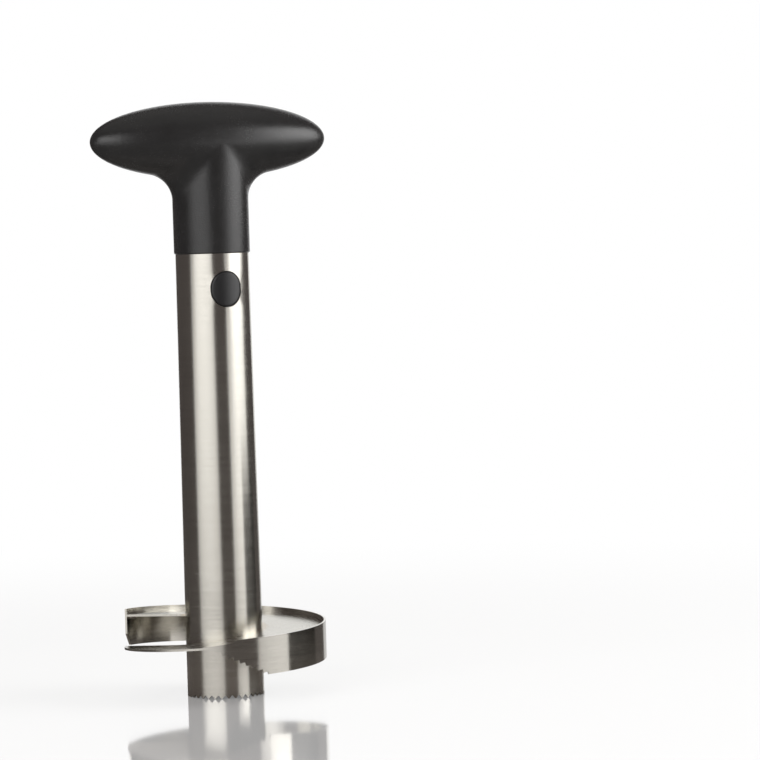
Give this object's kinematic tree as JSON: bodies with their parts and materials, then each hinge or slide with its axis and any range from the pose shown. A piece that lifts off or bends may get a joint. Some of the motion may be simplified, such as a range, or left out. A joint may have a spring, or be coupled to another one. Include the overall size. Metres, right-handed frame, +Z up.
{
  "type": "pineapple slicer",
  "caption": "Hand tool with a T handle on a long steel coring tube, a spiral slicing plate and a serrated outer band; release buttons let the handle lift off.",
  "frame": {"origin": "on the tube's axis, at the tips of the coring teeth", "axes": "+Z up along the tube to the handle, X along the handle bar, -Y out of the front release button"},
  "size_m": [0.104, 0.085, 0.2469],
  "materials": {
    "blade_steel": "satin, with fine polishing lines round the tube, bright at the ground edges",
    "weld_steel": "cleaned weld, slightly rough",
    "grip_black": "soft-touch black with a fine even grain",
    "core_black": "plain moulded black",
    "button_black": "satin moulded black",
    "spring_steel": "drawn wire",
    "screw_steel": "zinc plated"
  },
  "bodies": {
    "cutter": {"core_tube": "blade_steel", "spiral_blade": "blade_steel", "rim_band": "blade_steel", "tube_weld": "weld_steel", "band_welds": "weld_steel"},
    "handle": {"handle_grip": "grip_black", "handle_core": "core_black", "latch_plug": "core_black", "plug_screws": "screw_steel", "spring_front": "spring_steel", "spring_back": "spring_steel"},
    "front_button": {"button_front": "button_black"},
    "back_button": {"button_back": "button_black"}
  },
  "joints": [
    {"name": "handle_lift", "type": "slide", "parent": "cutter", "child": "handle", "axis": [0, 0, 1], "range_m": [0, 0.15]},
    {"name": "front_press", "type": "slide", "parent": "handle", "child": "front_button", "axis": [0, 1, 0], "range_m": [0, 0.003], "stiffness_N_per_m": 400, "springref_m": -0.004, "deforming": ["spring_front"]},
    {"name": "back_press", "type": "slide", "parent": "handle", "child": "back_button", "axis": [0, -1, 0], "range_m": [0, 0.003], "stiffness_N_per_m": 400, "springref_m": -0.004, "deforming": ["spring_back"]}
  ]
}
